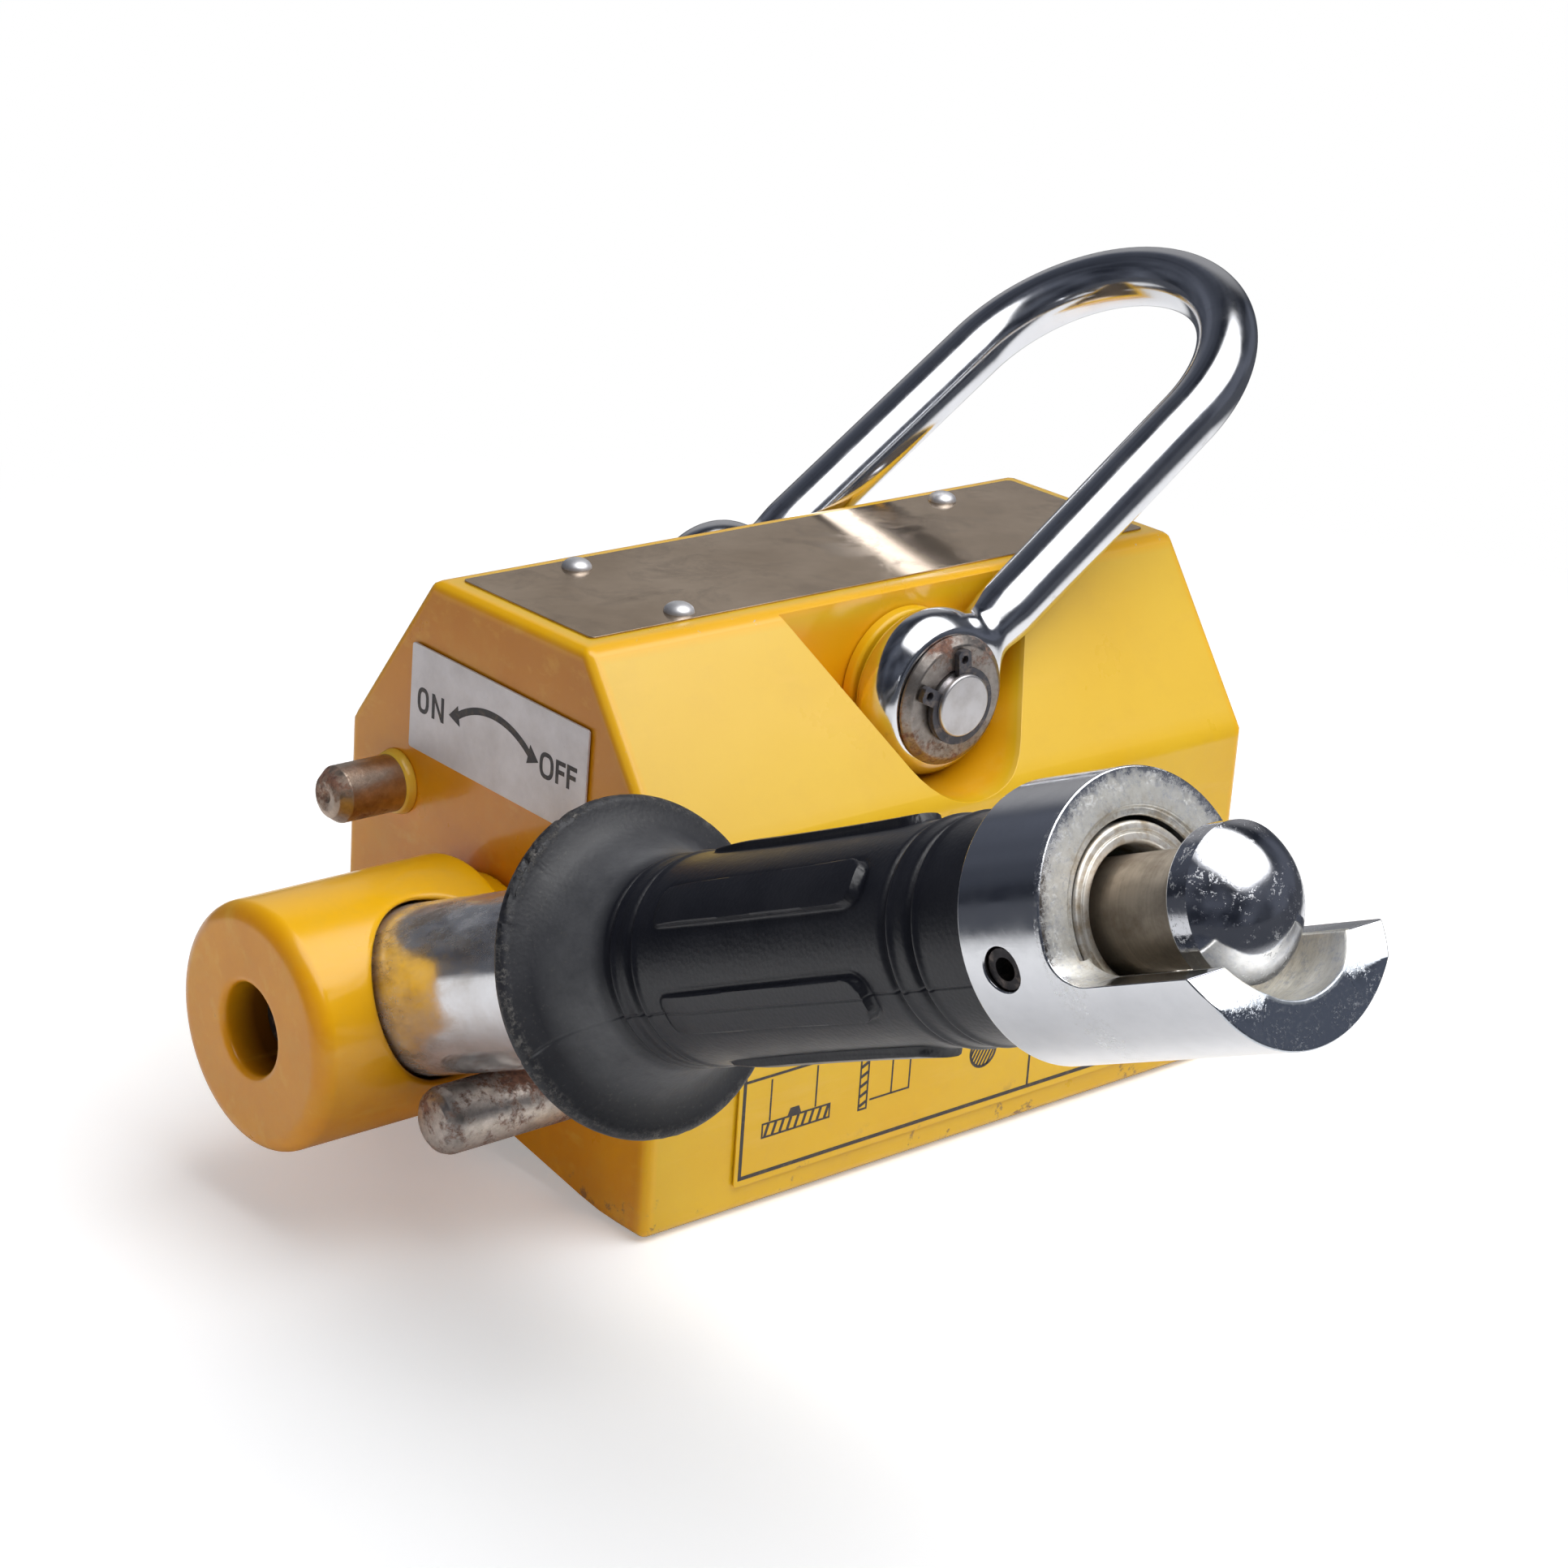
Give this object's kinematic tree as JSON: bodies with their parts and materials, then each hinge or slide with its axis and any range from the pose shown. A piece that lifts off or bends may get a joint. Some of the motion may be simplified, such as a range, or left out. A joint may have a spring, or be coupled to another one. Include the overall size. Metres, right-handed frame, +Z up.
{
  "type": "lifting magnet",
  "caption": "Switchable permanent lifting magnet: V-grooved steel block with a magnet rotor inside, an ON/OFF lever with rubber grip and sprung safety knob, and a swinging shackle.",
  "frame": {"origin": "centre of the overall bounding box, in the plane of the working face", "axes": "+Z up from the working face to the shackle, X along the rotor with the lever hub at -X, Y across the block with the lever at rest towards -Y"},
  "size_m": [0.1512, 0.1736, 0.1031],
  "materials": {
    "yellow_paint": "gloss enamel, chipped along the edges",
    "chrome": "bright plating",
    "bare_steel": "machined steel with light surface rust",
    "dark_steel": "blackened steel",
    "rubber": "satin black",
    "plate": "etched plate under clear lacquer",
    "sticker": "silver foil with dark print",
    "label": "yellow film with dark line drawings",
    "bronze": "machined bronze",
    "brass": "rolled brass strip",
    "magnet": "nickel-plated magnet block"
  },
  "bodies": {
    "block": {"catch_pin": "bare_steel", "circlip_left": "dark_steel", "circlip_right": "dark_steel", "cover_screw_1": "dark_steel", "cover_screw_2": "dark_steel", "cover_screw_3": "dark_steel", "cover_screw_4": "dark_steel", "fixed_magnet": "magnet", "front_bush": "bronze", "housing": "yellow_paint", "nameplate": "plate", "nameplate_rivet_1": "chrome", "nameplate_rivet_2": "chrome", "nameplate_rivet_3": "chrome", "nameplate_rivet_4": "chrome", "off_stop_pin": "bare_steel", "on_off_sticker": "sticker", "pivot_pin_left": "bare_steel", "pivot_pin_right": "bare_steel", "pivot_spacer_left": "yellow_paint", "pivot_spacer_right": "yellow_paint", "pivot_washer_left": "bare_steel", "pivot_washer_right": "bare_steel", "pole_separator": "brass", "rear_bush": "bronze", "rear_cover": "yellow_paint", "shaft_seal": "rubber", "side_label": "label"},
    "shackle_bow": {"shackle": "chrome"},
    "lever": {"hub": "yellow_paint", "hub_bolt": "dark_steel", "lever_tube": "chrome", "grip": "rubber", "end_collar": "chrome", "collar_set_screw": "dark_steel", "rotor_front_plate": "bare_steel", "rotor_rear_plate": "bare_steel", "rotor_pole_north": "bare_steel", "rotor_pole_south": "bare_steel", "rotor_magnet": "magnet", "rotor_screw_front_high": "dark_steel", "rotor_screw_front_low": "dark_steel", "rotor_screw_rear_high": "dark_steel", "rotor_screw_rear_low": "dark_steel"},
    "safety_knob": {"lock_rod": "bare_steel", "knob": "chrome", "return_spring": "dark_steel"}
  },
  "joints": [
    {"name": "shackle_swing", "type": "hinge", "parent": "block", "child": "shackle_bow", "pos_m": [0.01028, 0.05526, 0.0578], "axis": [0, -1, 0], "range_deg": [0, 112]},
    {"name": "lever_turn", "type": "hinge", "parent": "block", "child": "lever", "pos_m": [-0.05632, 0.05526, 0.0245], "axis": [-1, 0, 0], "range_deg": [0, 115.8]},
    {"name": "button_press", "type": "slide", "parent": "lever", "child": "safety_knob", "axis": [0, 0.9135, -0.4067], "range_m": [0, 0.008], "stiffness_N_per_m": 800, "springref_m": -0.004, "deforming": ["return_spring"]}
  ]
}
